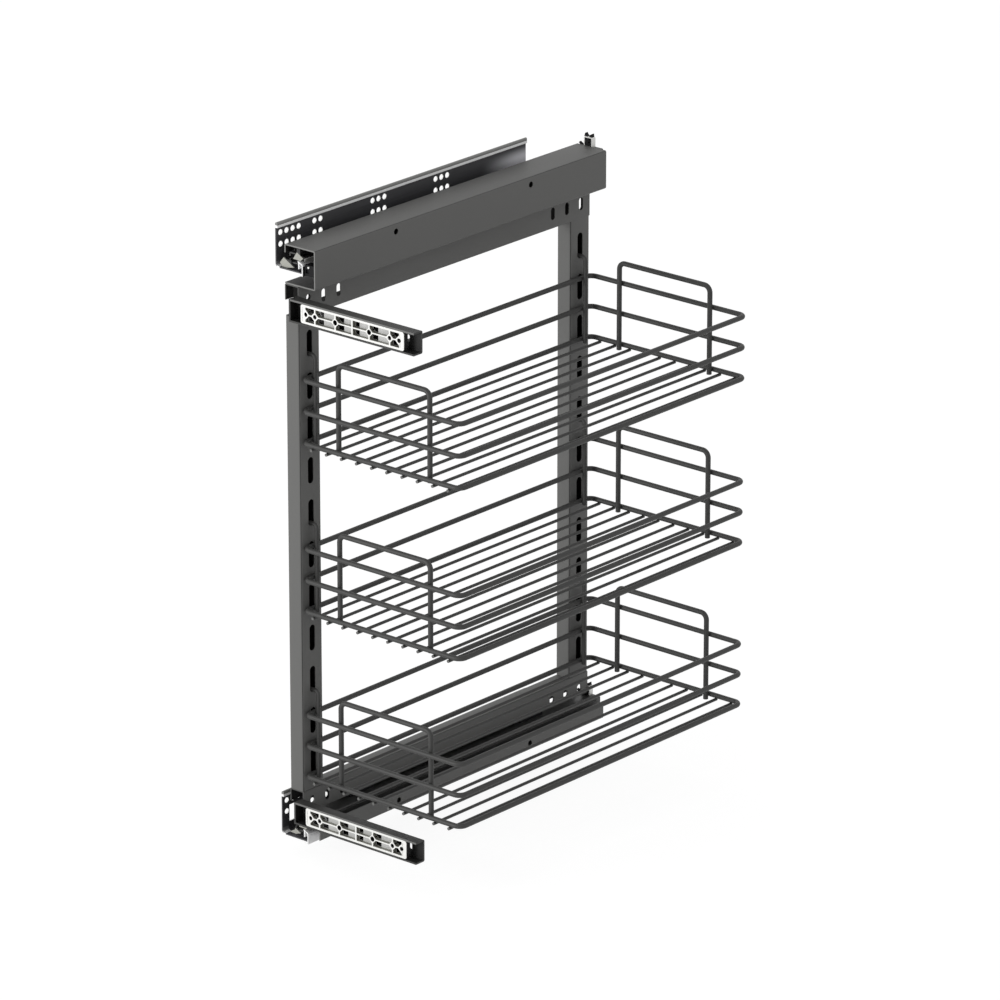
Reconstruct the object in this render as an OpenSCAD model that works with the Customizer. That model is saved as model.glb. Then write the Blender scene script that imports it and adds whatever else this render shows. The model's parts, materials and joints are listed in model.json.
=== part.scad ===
// Pull out larder unit for a narrow kitchen cabinet, shown closed.
// Two roller runners on the left cabinet wall carry a slotted frame with three hooked wire baskets.
// X runs from the cabinet wall into the cabinet, Y from the front to the back, Z up.
// The origin is the first fixing hole of the lower runner, on the wall.

/* [Runners] */
// Distance from the cabinet's front edge to the first fixing hole
system_setback = 37; // [35:0.5:50]
// Length of the profile that is screwed to the cabinet wall
runner_len = 424; // [400:1:460]
// Height of that profile
runner_h = 52; // [48:1:60]
// Height of the lower row of fixing holes above the profile's underside
row_low = 25.5; // [22:0.5:28]
// Distance between the two rows of holes
row_gap = 13.5; // [12:0.5:15]
// Diameter of a fixing hole
fix_hole_d = 6.6; // [4:0.2:8]
// Reach of the bottom flange from the wall
flange_w = 39; // [38.5:0.25:40]
// Thickness of the runner and frame sheet
sheet = 1.5; // [1:0.1:2]
// Diameter of a roller
roller_d = 6; // [5:0.5:8]
// Length of a roller
roller_len = 10; // [8:0.5:10.5]
// Number of rollers in a cage
rollers = 6; // [4:1:8]
// Distance between the rollers in a cage
roller_pitch = 28; // [20:1:30]
// Play between rollers and tracks
running_gap = 0.3; // [0.2:0.05:0.5]
// Width of the middle profile
middle_w = 14; // [13:0.5:14.5]
// Height of the middle profile
middle_h = 12.4; // [10:0.2:16]
// Width of the drawer profile
drawer_w = 33; // [31:0.5:34]
// Length that the drawer profile stands out behind the frame
drawer_tail = 7; // [5:0.5:12]

/* [Frame] */
// Depth of the frame from front to back
frame_depth = 499.5; // [480:0.5:520]
// Distance from the cabinet wall to the frame
frame_x = 13.7; // [13:0.1:16]
// Width of a post
post_w = 20.5; // [18:0.5:22]
// Depth of a post
post_d = 34; // [28:1:40]
// Length of a post
post_len = 565; // [560:1:600]
// Wall of a post
post_wall = 1.5; // [1:0.1:2]
// Distance between the slots of a post
slot_pitch = 50; // [48:0.5:50.5]
// Height of a slot
slot_h = 31; // [26:1:34]
// Width of a slot
slot_w = 9; // [7:0.5:10]
// Height of the upper rail
upper_rail_h = 37.2; // [34:0.2:42]
// Height of the lower rail
lower_rail_h = 27.4; // [26:0.2:32]
// Play between the lower rail and the runner below it
rail_gap = 3.9; // [2:0.1:6]
// Width of the cover beam
beam_w = 45.2; // [44:0.2:50]
// Height of the cover beam
beam_h = 46; // [42:0.5:50]
// Height of the lower cover strip
cover_h = 20.5; // [18:0.5:21]
// Diameter of the holes in the beam and the cover
cover_hole_d = 7; // [4:0.5:8]

/* [Baskets] */
// Slot that the top basket hangs in, counted down from the highest slot
top_slot = 0; // [0:1:1]
// Free slots below the one that the bottom basket hangs in
low_slots = 2; // [2:1:3]
// Width of a basket between the middles of its side rails
basket_w = 231; // [180:1:240]
// Diameter of a rail wire
rail_d = 6; // [5:0.5:7]
// Diameter of a floor wire
floor_d = 3.6; // [3:0.2:4]
// Diameter of a hook wire
hook_d = 5; // [4:0.5:5.5]
// Depth that the wires are welded into each other
weld = 0.4; // [0.2:0.1:0.6]
// Height from one rail to the next
rail_pitch = 37.2; // [30:0.2:40]
// Height of a hoop above the top rail
hoop_rise = 26.6; // [20:0.2:32]
// Distance between the two legs of a hoop
hoop_w = 134.5; // [100:0.5:150]
// Bend radius of a rail corner
rail_bend = 9; // [6:0.5:14]
// Distance between the floor wires
floor_pitch = 22.4; // [20:0.2:26]
// Height from the slot's lower end down to the top rail
hook_drop = 23.3; // [20:0.1:30]
// Depth of the hook's lip inside the post
hook_lip = 9; // [6:0.5:10]
// Play between a hook and the post
hook_gap = 0.3; // [0.2:0.05:0.5]

/* [Door brackets] */
// Length of a bracket
bracket_len = 184; // [175:1:200]
// Height of a bracket
bracket_h = 26.5; // [24:0.5:30]
// Depth of a bracket
bracket_d = 14.6; // [13:0.2:18]
// Thickness of a bracket's sheet
bracket_sheet = 2.1; // [1.5:0.1:2.5]
// Length of a door plate
plate_len = 151.6; // [150:0.2:156]
// Depth of a door plate
plate_d = 6; // [5:0.5:7]
// Width of a door plate's rim above and below
plate_wall = 2.4; // [1.5:0.1:3]
// Thickness of a door plate's ribs
rib = 1.8; // [1.2:0.1:2.4]
// Diameter of the screw holes in a door plate
door_hole_d = 5.2; // [4.4:0.1:5.6]
// Play between a door plate and its bracket
plate_gap = 0.3; // [0.2:0.05:0.5]

/* [Hidden] */
$fn = 48;

graphite = "#3f3f41";
zinc = "#c9cacb";
black = "#1b1b1d";
steel = "#a7a9ac";

// Fore and aft places
front_y = -system_setback;
middle_y = front_y + 4;
drawer_y = front_y + 14;
back_y = front_y + frame_depth;
drawer_len = frame_depth + drawer_tail - 14;

// Heights of a runner's pieces above its underside
inner_roller_z = sheet + running_gap;
middle_z = inner_roller_z + roller_d + running_gap;
outer_roller_z = middle_z + middle_h + running_gap;
drawer_z = outer_roller_z + roller_d + running_gap;
drawer_top = drawer_z + sheet;

// Heights of the frame, built up from the lower runner
lower_z = -row_low;
rail_z = lower_z + drawer_top + rail_gap;
post_z = rail_z + lower_rail_h;
upper_rail_z = post_z + post_len;
beam_z = upper_rail_z + upper_rail_h;
upper_z = beam_z + beam_h - sheet - drawer_top;

// Sideways places
post_right = frame_x + post_w;
drawer_x = frame_x + sheet;
drawer_right = drawer_x + drawer_w;
middle_x = drawer_x + sheet + 0.8;
beam_right = frame_x + beam_w;

// Post slots: as many as fit, the rest of the length is shared between the post's two ends
slots = floor((post_len - 25 - slot_h) / slot_pitch) + 1;
slot_first = (post_len - (slots - 1) * slot_pitch - slot_h) / 2;
slot_y = [front_y + post_d / 2, back_y - post_d / 2];

// Slots of the baskets, counted down from the highest slot: the middle basket hangs halfway
bottom_slot = slots - 1 - low_slots;
basket_slots = [top_slot, round((top_slot + bottom_slot) / 2), bottom_slot];

// Basket corners, at the middles of the rail wires
basket_inset = 1.7;
side_x = post_right + hook_gap + rail_d / 2;
far_x = side_x + basket_w;
near_y = front_y + basket_inset;
far_y = back_y - basket_inset;

// Square with exact round corners
module round_square(x0, z0, x1, z1, r) {
    translate([x0 + r, z0]) square([x1 - x0 - 2 * r, z1 - z0]);
    translate([x0, z0 + r]) square([x1 - x0, z1 - z0 - 2 * r]);
    for (x = [x0 + r, x1 - r], z = [z0 + r, z1 - r]) translate([x, z]) circle(r = r);
}

// Section in the XZ plane, drawn out along Y
module along_y(y, len) {
    translate([0, y + len, 0]) rotate([90, 0, 0]) linear_extrude(len) children();
}

// Round bar along one axis, from a point
module bar_x(p, len, d) { translate(p) rotate([0, 90, 0]) cylinder(d = d, h = len); }
module bar_y(p, len, d) { translate(p) rotate([-90, 0, 0]) cylinder(d = d, h = len); }
module bar_z(p, len, d) { translate(p) cylinder(d = d, h = len); }

// Quarter bend of a wire around its centre of bend
module bend(d, r) { rotate_extrude(angle = 90) translate([r, 0]) circle(d = d); }

// Cabinet profile: a wall plate with a rolled lip above and a flange below.
// The lower one has a window near its front end and one more hole behind the first group.
module cabinet_profile(z, window) {
    bend_r = 5;
    lip_h = 6.5;
    lip_w = 2 * sheet + 0.4;
    front_cols = [7, 17, 27];
    cols = [0, 26, 36, 123, 133, 143, 230, 240, 250];
    difference() {
        translate([0, 0, z]) along_y(front_y, runner_len) {
            difference() {
                round_square(0, 0, flange_w + bend_r, runner_h + bend_r, bend_r);
                round_square(sheet, sheet, flange_w + 9, runner_h + 9, bend_r - sheet);
                translate([-1, runner_h - lip_w / 2]) square([flange_w + 9, 30]);
                translate([flange_w, -1]) square([30, runner_h + 9]);
            }
            difference() {
                translate([lip_w / 2, runner_h - lip_w / 2]) circle(d = lip_w);
                translate([0, runner_h - lip_w]) square([lip_w, lip_w / 2]);
            }
            translate([0, runner_h - lip_h]) square([lip_w, lip_h - lip_w / 2]);
        }
        for (y = concat([for (c = front_cols) front_y + c], cols), row = [0, row_gap])
            bar_x([-1, y, z + row_low + row], 9, fix_hole_d);
        if (window) {
            translate([-1, front_y + 11.5, z + 12]) cube([9, 11, 20]);
            bar_x([-1, 13, z + row_low], 9, fix_hole_d);
        }
    }
}

strip_top = 12;

// Guide strip: folded round the flange's edge. Its top is bent inwards and down again and
// keeps the drawer profile from tipping.
module guide_strip(z) {
    x1 = flange_w + sheet;
    t = strip_top;
    translate([0, 0, z]) along_y(front_y, runner_len) {
        translate([x1 - 7, -2 * sheet]) square([7, 2 * sheet]);
        polygon([[x1 - sheet, -sheet], [x1, -sheet], [x1, t - 2.2], [x1 - 1, t - 0.8], [x1 - 7.2, t + 1.8],
            [x1 - 7.6, t + 0.5], [x1 - 6.6, t], [x1 - 6.6, 4.6], [x1 - 5.1, 4.6], [x1 - 5.1, t - 0.6],
            [x1 - sheet - 0.4, t - 2.2], [x1 - sheet, t - 2.8]]);
    }
}

// Middle profile: a box between the two tracks, with a wing that reaches over the guide strip
module middle_profile(z) {
    wing_top = middle_z + 10;
    wing_right = flange_w + sheet;
    translate([0, 0, z]) along_y(middle_y, runner_len) {
        difference() {
            round_square(middle_x, middle_z, middle_x + middle_w, middle_z + middle_h, 2);
            round_square(middle_x + sheet, middle_z + sheet, middle_x + middle_w - sheet,
                middle_z + middle_h - sheet, 0.5);
            translate([middle_x - 1, middle_z + 3 * sheet]) square([2 * sheet, middle_h - 6 * sheet]);
        }
        translate([middle_x + middle_w - 0.5, wing_top - sheet])
            square([wing_right - middle_x - middle_w + 0.5, sheet]);
        translate([wing_right - sheet, strip_top + 0.8]) square([sheet, wing_top - strip_top - 0.8]);
    }
}

// Bent tab on the front end of the middle profile, a flatter one on the lower runner
module middle_stop(z, flat) {
    x = middle_x;
    low = sheet + running_gap;
    top = middle_z + 3;
    translate([0, 0, z]) along_y(middle_y - sheet, sheet) {
        if (flat) {
            polygon([[x - 7.3, 4.3], [x + 2.3, 9.8], [x + 9.4, 6.3], [x + 1.5, 3.7]]);
            polygon([[x - 1, 5], [x + 1, top], [x + 5, top], [x + 5, 5]]);
        } else {
            polygon([[x - 9.8, low], [x - 13, 5.8], [x - 7.7, 12.6], [x + 8, 3.8], [x - 2.5, low]]);
            polygon([[x - 6, 5], [x - 6, 11.5], [x + 4, top], [x + 4, 5]]);
        }
    }
}

// Cage strip with a pocket for each roller
module cage(z, y) {
    len = (rollers - 1) * roller_pitch + roller_d + 10;
    cage_t = roller_d / 2;
    width = middle_w - 1;
    x0 = middle_x + 0.5;
    difference() {
        translate([x0, y, z + (roller_d - cage_t) / 2]) cube([width, len, cage_t]);
        for (i = [0 : rollers - 1])
            translate([x0 + (width - roller_len) / 2 - running_gap, y + 5 - running_gap + i * roller_pitch, z])
                cube([roller_len + 2 * running_gap, roller_d + 2 * running_gap, roller_d]);
    }
}

module roller_set(z, y) {
    x0 = middle_x + (middle_w - roller_len) / 2;
    for (i = [0 : rollers - 1])
        bar_x([x0, y + 5 + roller_d / 2 + i * roller_pitch, z + roller_d / 2], roller_len, roller_d);
}

// Drawer profile: hangs over the rollers and carries the frame
module drawer_profile(z) {
    left_h = 11.5;
    right_h = drawer_top - 3;
    translate([0, 0, z]) along_y(drawer_y, drawer_len) difference() {
        round_square(drawer_x, -20, drawer_right, drawer_top, 1.6);
        translate([drawer_x + sheet, -30]) square([drawer_w - 2 * sheet, 30 + drawer_z]);
        translate([drawer_x - 1, -30]) square([sheet + 2, 30 + drawer_top - left_h]);
        translate([drawer_x - 1, -30]) square([drawer_w + 2, 30 + drawer_top - right_h]);
    }
}

// Bent tab at the front, on an arm that is riveted under the drawer profile
module drawer_stop(z) {
    x = drawer_x + 15;
    y = front_y + 2;
    translate([0, 0, z]) {
        along_y(y, sheet) {
            polygon([[x - 5.5, 14.3], [x, 22.7], [x + 9.5, 17.2], [x + 5, 13.8]]);
            polygon([[x, 22], [x, drawer_z], [x + 5, drawer_z], [x + 5, 19]]);
        }
        along_y(y, 26) translate([x, drawer_z - sheet]) square([5, sheet]);
    }
}

// Soft close housing on the cover beam's web, with a wider head in front of the drawer profile
damper_x = drawer_right + sheet;
damper_w = beam_right - sheet - damper_x;
damper_z = 1.5;
damper_h = 9.7;
damper_bore = 5.4;
head_x = flange_w + sheet + 1.7;
head_end = drawer_y - 1;
pin_d = 2.4;
module damper_housing(z) {
    len = 150;
    difference() {
        union() {
            translate([damper_x, head_end - 1, z + damper_z]) cube([damper_w, len, damper_h]);
            translate([head_x, front_y + 2, z + damper_z - 3])
                cube([beam_right - sheet - head_x, head_end - front_y - 2, damper_h + 3]);
        }
        bar_y([damper_x + damper_w / 2, front_y + 6, z + damper_z + damper_h / 2], len, damper_bore);
        translate([head_x + 1, front_y + 1, z + damper_z]) cube([5, 3, 4.5]);
        bar_y([head_x + 6, front_y + 1, z + damper_z + 7.4], 9, pin_d);
    }
}

// Pin pressed into the housing's head
module damper_pin(z) { bar_y([head_x + 6, front_y + 0.8, z + damper_z + 7.4], 9.2, pin_d); }

// Damper: a cylinder and its rod in the housing's bore
module damper(z) {
    fit = 0.1;
    y = drawer_y + 40;
    at = [damper_x + damper_w / 2, y, z + damper_z + damper_h / 2];
    bar_y(at, 80, damper_bore - fit);
    bar_y([at[0], y - 42, at[2]], 42, 2.2);
    bar_y([at[0], y - 46, at[2]], 4, damper_bore - 2 * fit);
}

// Rear bracket: a folded bridge that stands on the drawer profile's tail
bridge_w = 12.5;
bridge_x = frame_x + 10.8;
bridge_h = 12;
bridge_d = drawer_tail - 0.8;
module rear_bracket(z) {
    translate([0, 0, z + drawer_top]) along_y(back_y + 0.4, bridge_d) difference() {
        round_square(bridge_x, -5, bridge_x + bridge_w, bridge_h, 1.8);
        round_square(bridge_x + 1.2, -6, bridge_x + bridge_w - 1.2, bridge_h - 1.2, 0.6);
        translate([bridge_x - 1, -6]) square([bridge_w + 2, 6]);
    }
}

// Rear hook: the black catch in the bridge, its lever and the two ears above
module rear_hook(z) {
    x0 = bridge_x + 1.2;
    w = bridge_w - 2.4;
    translate([0, 0, z + drawer_top]) {
        along_y(back_y + 1.2, bridge_d - 1.6) {
            translate([x0, 0]) square([w, 4]);
            polygon([[x0, 4], [x0 + 4, 4], [x0 + 6, 8], [x0 + 4, bridge_h - 2], [x0, bridge_h - 2]]);
            translate([x0 + w - 2, 4]) square([2, bridge_h - 6]);
        }
        along_y(back_y + 1.2, bridge_d - 1.6) {
            polygon([[bridge_x, bridge_h], [bridge_x + 5, bridge_h], [bridge_x + 2.5, bridge_h + 2],
                [bridge_x + 1.5, bridge_h + 4]]);
            polygon([[bridge_x + 7, bridge_h], [bridge_x + bridge_w - 1, bridge_h],
                [bridge_x + bridge_w - 1.5, bridge_h + 4], [bridge_x + bridge_w - 4, bridge_h + 2.5]]);
        }
        along_y(back_y + 1.2, 3)
            polygon([[bridge_x, 3], [bridge_x - 4, 2], [bridge_x - 7, 4], [bridge_x - 8, 2.5],
                [bridge_x - 5, 0], [bridge_x, 0]]);
    }
}

// Channel, open below. Near the front its left leg is cut back to a short one. A strip can
// stay below the cut, except for its first part.
notch_len = 110;
strip_start = 50;
module rail_channel(z, tall, short, strip) {
    r = 2;
    difference() {
        along_y(front_y, frame_depth) difference() {
            round_square(frame_x, z - 20, post_right, z + tall, r);
            round_square(frame_x + sheet, z - 21, post_right - sheet, z + tall - sheet, r - sheet);
            translate([frame_x - 1, z - 30]) square([post_w + 2, 30]);
        }
        translate([frame_x - 1, front_y - 1, z + strip]) cube([post_w / 2, notch_len + 1, tall - short - strip]);
        translate([frame_x - 1, front_y - 1, z - 1]) cube([post_w / 2, strip_start + 1, tall - short + 1]);
    }
}

// Upright slot through the right leg of a rail
rail_slot_w = 7;
rail_slot_pitch = 25;
module rail_slot(y, z0, z1) {
    r = rail_slot_w / 2;
    for (z = [z0 + r, z1 - r]) bar_x([post_right - 3 * sheet, y, z], 4 * sheet, 2 * r);
    translate([post_right - 3 * sheet, y - r, z0 + r]) cube([4 * sheet, 2 * r, z1 - z0 - 2 * r]);
}

// Heights of the rails' left legs near the front
upper_leg = 19;
lower_leg = 15.4;

// Three slots at either end. The first one at the front is nearly a round hole.
module upper_rail_slots() {
    top = upper_rail_z + 25;
    for (i = [0 : 2], y = [front_y + 16.2 + i * rail_slot_pitch, back_y - 15.5 - i * rail_slot_pitch])
        rail_slot(y, top - ((y == front_y + 16.2) ? rail_slot_w + 0.4 : 15), top);
}
module upper_rail() {
    color(graphite) difference() {
        rail_channel(upper_rail_z, upper_rail_h, upper_leg, 6);
        upper_rail_slots();
    }
}
module lower_rail() {
    color(graphite) difference() {
        rail_channel(rail_z, lower_rail_h, lower_leg, -1);
        for (i = [0 : 2]) rail_slot(back_y - 15.5 - i * rail_slot_pitch, post_z - 22, post_z - 13);
        rail_slot(front_y + 15, post_z - 17.6, post_z - 8.6);
        for (i = [1, 2]) rail_slot(front_y + 15 + i * rail_slot_pitch, post_z - 21.6, post_z - 8.6);
    }
}

// Tube with a column of slots for the basket hooks
module post(y) {
    slot_mid = y + post_d / 2;
    difference() {
        translate([0, 0, post_z]) linear_extrude(post_len) difference() {
            round_square(frame_x, y, post_right, y + post_d, 2.5);
            round_square(frame_x + post_wall, y + post_wall, post_right - post_wall,
                y + post_d - post_wall, 1);
        }
        for (i = [0 : slots - 1])
            translate([post_right - 2 * post_wall, slot_mid, post_z + slot_first + i * slot_pitch]) {
                translate([0, -slot_w / 2, slot_w / 2]) cube([3 * post_wall, slot_w, slot_h - slot_w]);
                bar_x([0, 0, slot_w / 2], 3 * post_wall, slot_w);
                bar_x([0, 0, slot_h - slot_w / 2], 3 * post_wall, slot_w);
            }
    }
}
module front_post() { color(graphite) post(front_y); }
module back_post() { color(graphite) post(back_y - post_d); }

// Angled tongues that join the posts' tops to the upper rail
module post_tongues() {
    tongue_t = 2;
    down = 12;
    inset = 4;
    wide = 10;
    wall = max(post_wall, sheet);
    x1 = post_right - wall;
    h = down + upper_rail_h - sheet - 0.5;
    color(graphite) difference() {
        for (y = [front_y + inset, back_y - post_d + inset]) {
            translate([x1 - tongue_t, y, upper_rail_z - down]) cube([tongue_t, post_d - 2 * inset, h]);
            translate([x1 - wide, y, upper_rail_z - down]) cube([wide, tongue_t, h]);
        }
        upper_rail_slots();
    }
}

// Places of the two holes in the beam and in the cover
cover_hole_y = [for (share = [0.27, 0.733]) front_y + share * frame_depth];

// Cover beam: a C section, open towards the wall, that hides the upper runner
module cover_beam() {
    lip_h = 10;
    hole_drop = 9.5;
    color(graphite) difference() {
        along_y(front_y, frame_depth) difference() {
            round_square(frame_x, beam_z, beam_right, beam_z + beam_h, 2.2);
            round_square(frame_x + sheet, beam_z + sheet, beam_right - sheet, beam_z + beam_h - sheet, 0.7);
            translate([frame_x - 1, beam_z + sheet]) square([sheet + 2, beam_h - sheet - lip_h]);
        }
        for (y = cover_hole_y)
            bar_x([beam_right - 2 * sheet, y, beam_z + beam_h - hole_drop], 3 * sheet, cover_hole_d);
    }
}

// Lower cover: a trough beside the lower runner, cut back at its front end
cover_z = lower_z + 5.7;
module lower_cover() {
    color(graphite) difference() {
        along_y(front_y, frame_depth) difference() {
            round_square(drawer_right, cover_z, beam_right, cover_z + cover_h + 9, 2.2);
            translate([drawer_right + sheet, cover_z + sheet])
                square([beam_right - drawer_right - 2 * sheet, cover_h + 9]);
            translate([drawer_right - 1, cover_z + cover_h]) square([beam_w, 30]);
        }
        translate([drawer_right - 1, front_y - 1, cover_z - 1])
            cube([beam_right - sheet - drawer_right + 1, 15.5, cover_h + 9]);
        for (y = cover_hole_y)
            bar_x([beam_right - 2 * sheet, y, cover_z + 8.7], 3 * sheet, cover_hole_d);
    }
}

// Saddles between the lower drawer profile and the lower rail
module rail_saddles() {
    saddle_len = 40;
    saddle_t = 2;
    z0 = lower_z + drawer_top;
    h = post_z - sheet - z0;
    w = post_w - 2 * sheet - 1;
    x0 = post_right - sheet - 0.5 - w;
    color(black) for (y = [front_y + 80, back_y - 120])
        translate([x0, y, z0]) difference() {
            cube([w, saddle_len, h]);
            translate([saddle_t, -1, saddle_t]) cube([w - 2 * saddle_t, saddle_len + 2, h - 2 * saddle_t]);
        }
}

// Door brackets: channels across the front, open towards the door, with a wall at the left end
bracket_x = frame_x + 18.8;
bracket_y = front_y - bracket_d;
upper_bracket_z = upper_rail_z + 0.05;
lower_bracket_z = post_z - 8.45 - bracket_h;
angle_w = 44;
angle_depth = 11;
angle_t = 2;
bracket_screw_x = [post_right + 15, post_right + 34];
module door_bracket(z) {
    color(graphite) difference() {
        union() {
            translate([bracket_x, 0, 0]) rotate([90, 0, 90]) linear_extrude(bracket_len) difference() {
                round_square(bracket_y - 9, z, front_y, z + bracket_h, 2);
                translate([bracket_y - 10, z + bracket_sheet]) square([bracket_d + 10 - bracket_sheet, bracket_h - 2 * bracket_sheet]);
                translate([bracket_y - 10, z - 1]) square([10, bracket_h + 2]);
            }
            translate([bracket_x, bracket_y, z + bracket_sheet / 2])
                cube([bracket_sheet, bracket_d - bracket_sheet / 2, bracket_h - bracket_sheet]);
        }
        for (x = bracket_screw_x)
            bar_y([x, front_y - 2 * bracket_sheet, z + bracket_h / 2], 3 * bracket_sheet, 5.2);
        translate([bracket_x + bracket_len - 19.1, front_y - 2 * bracket_sheet, z + bracket_h / 2 + 0.8]) {
            for (dz = [-1.9, 1.9]) bar_y([0, 0, dz], 3 * bracket_sheet, 4.6);
            translate([-2.3, 0, -1.9]) cube([4.6, 3 * bracket_sheet, 3.8]);
        }
    }
}

// Angles that carry the brackets on the frame's rails
module bracket_angles() {
    color(graphite) for (z = [upper_bracket_z, lower_bracket_z]) {
        z0 = max(z + 2, z == upper_bracket_z ? upper_rail_z : rail_z);
        z1 = z + bracket_h - 8;
        difference() {
            union() {
                translate([post_right, front_y, z0]) cube([angle_t, angle_depth, z1 - z0]);
                translate([post_right, front_y, z0]) cube([angle_w, angle_t, z1 - z0]);
            }
            for (x = bracket_screw_x) bar_y([x, front_y - 1, z + bracket_h / 2], angle_t + 2, 5.2);
        }
    }
}

// Screws with flat heads inside the brackets and nuts behind the angles
module bracket_screws() {
    color(steel) for (z = [upper_bracket_z, lower_bracket_z], x = bracket_screw_x) {
        bar_y([x, front_y - bracket_sheet - 1.6, z + bracket_h / 2], 1.6, 9);
        bar_y([x, front_y - bracket_sheet, z + bracket_h / 2], bracket_sheet + angle_t, 5);
        translate([x, front_y + angle_t, z + bracket_h / 2]) rotate([-90, 0, 0]) cylinder(d = 9, h = 3.5, $fn = 6);
    }
}

// Door plate: a ribbed casting that is screwed to the door and slides in the bracket.
// Each screw hole sits in a diamond, the diamonds are joined by ribs, and the back has a
// window beside each upright rib: where it starts from the middle, and its width.
plate_h = bracket_h - 2 * bracket_sheet - 2 * plate_gap;
plate_holes = [68.6, 55, 25];
plate_windows = [[-68.6, 12.6], [-54, 8.5], [-24, 8.5], [1.2, 6], [26, 8.5], [56, 12.6]];
module door_plate(z) {
    back = 1.2;
    end_w = 6.8;
    diamond = 5.6 * sqrt(2);
    groove = 0.5;
    pocket_h = plate_h - 2 * plate_wall;
    y0 = bracket_y + 0.6;
    mid_x = bracket_x + 17.4 + plate_len / 2;
    mid_z = z + bracket_h / 2;
    color(zinc) translate([mid_x, y0 + plate_d, mid_z]) rotate([90, 0, 0]) difference() {
        union() {
            linear_extrude(back) difference() {
                plate_outline();
                for (w = plate_windows) translate([w[0], -pocket_h / 2]) square([w[1], pocket_h]);
            }
            linear_extrude(plate_d) {
                difference() {
                    plate_outline();
                    square([plate_len - 2 * end_w, pocket_h], center = true);
                }
                square([2 * plate_holes[0], 0.75 * rib], center = true);
                for (x = [-55, -25, 0, 25, 55]) translate([x, 0]) square([rib, pocket_h + 1], center = true);
                intersection() {
                    plate_outline();
                    for (s = [-1, 1], b = plate_holes) translate([s * b, 0]) rotate(45) square(diamond, center = true);
                }
            }
        }
        for (s = [-1, 1]) {
            for (b = plate_holes) translate([s * b, 0, -1])
                cylinder(d = door_hole_d + (b < 30 ? 1 : 0), h = plate_d + 2);
            translate([s * (plate_len / 2 - 3.9) - 2, 3 - plate_h / 2, plate_d - groove]) cube([4, plate_h - 6, 1]);
        }
    }
}
module plate_outline() {
    round_square(-plate_len / 2, -plate_h / 2, plate_len / 2, plate_h / 2, 2.6);
}

// Closed basket rail with round corners
module basket_rail(z) {
    x0 = side_x;
    x1 = far_x;
    y0 = near_y;
    y1 = far_y;
    b = rail_bend;
    for (y = [y0, y1]) bar_x([x0 + b, y, z], x1 - x0 - 2 * b, rail_d);
    for (x = [x0, x1]) bar_y([x, y0 + b, z], y1 - y0 - 2 * b, rail_d);
    translate([x1 - b, y1 - b, z]) bend(rail_d, b);
    translate([x0 + b, y1 - b, z]) rotate(90) bend(rail_d, b);
    translate([x0 + b, y0 + b, z]) rotate(180) bend(rail_d, b);
    translate([x1 - b, y0 + b, z]) rotate(270) bend(rail_d, b);
}

// Hoops that stand up inside the front and the back of a basket
module basket_hoops(z) {
    r = 8;
    mid = (side_x + far_x) / 2;
    x0 = mid - hoop_w / 2;
    x1 = mid + hoop_w / 2;
    low = z - 2 * rail_pitch - rail_d / 2 - 2;
    top = z + hoop_rise;
    off = rail_d - weld;
    for (y = [near_y + off, far_y - off]) {
        for (x = [x0, x1]) bar_z([x, y, low], top - r - low, rail_d);
        bar_x([x0 + r, y, top], x1 - x0 - 2 * r, rail_d);
        translate([x1 - r, y, top - r]) rotate([90, 0, 0]) bend(rail_d, r);
        translate([x0 + r, y, top - r]) rotate([90, 0, 0]) rotate(90) bend(rail_d, r);
    }
}

// Floor wires under the lowest rail
module basket_floor(z) {
    n = floor((basket_w - rail_d) / floor_pitch);
    first = (side_x + far_x - (n - 1) * floor_pitch) / 2;
    end = 3.8;
    for (i = [0 : n - 1])
        bar_y([first + i * floor_pitch, near_y - end, z - rail_d / 2 - floor_d / 2 + weld],
            far_y - near_y + 1.2 * end, floor_d);
}

// Hooks: an upright inside the side rails, bent over into a post slot
module basket_hooks(z) {
    r = 5;
    x = side_x + rail_d / 2 + hook_d / 2 - weld;
    low = z - 2 * rail_pitch - rail_d / 2 - 1;
    top = z + hook_drop + hook_gap + hook_d / 2;
    lip_x = post_right - post_wall - hook_gap - hook_d / 2 - 0.2;
    lip_r = 3;
    for (y = slot_y) {
        bar_z([x, y, low], top - r - low, hook_d);
        translate([x - r, y, top - r]) rotate([90, 0, 0]) bend(hook_d, r);
        bar_x([lip_x + lip_r, y, top], x - r - lip_x - lip_r, hook_d);
        translate([lip_x + lip_r, y, top - lip_r]) rotate([90, 0, 0]) rotate(90) bend(hook_d, lip_r);
        bar_z([lip_x, y, top - hook_lip], hook_lip - lip_r, hook_d);
    }
}

// Height of a basket's top rail for the slot that it hangs in
function basket_z(slot) = post_z + slot_first + (slots - 1 - slot) * slot_pitch - hook_drop;

// Places of the cages at rest
inner_cage_y = front_y + 0.33 * runner_len;
outer_cage_y = front_y + 0.425 * runner_len;

names = ["top_basket", "middle_basket", "bottom_basket"];
for (i = [0 : 2]) {
    z = basket_z(basket_slots[i]);
    color(graphite) basket_rail(z);
    color(graphite) basket_rail(z - rail_pitch);
    color(graphite) basket_rail(z - 2 * rail_pitch);
    color(graphite) basket_hoops(z);
    color(graphite) basket_floor(z - 2 * rail_pitch);
    color(graphite) basket_hooks(z);
}

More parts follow.
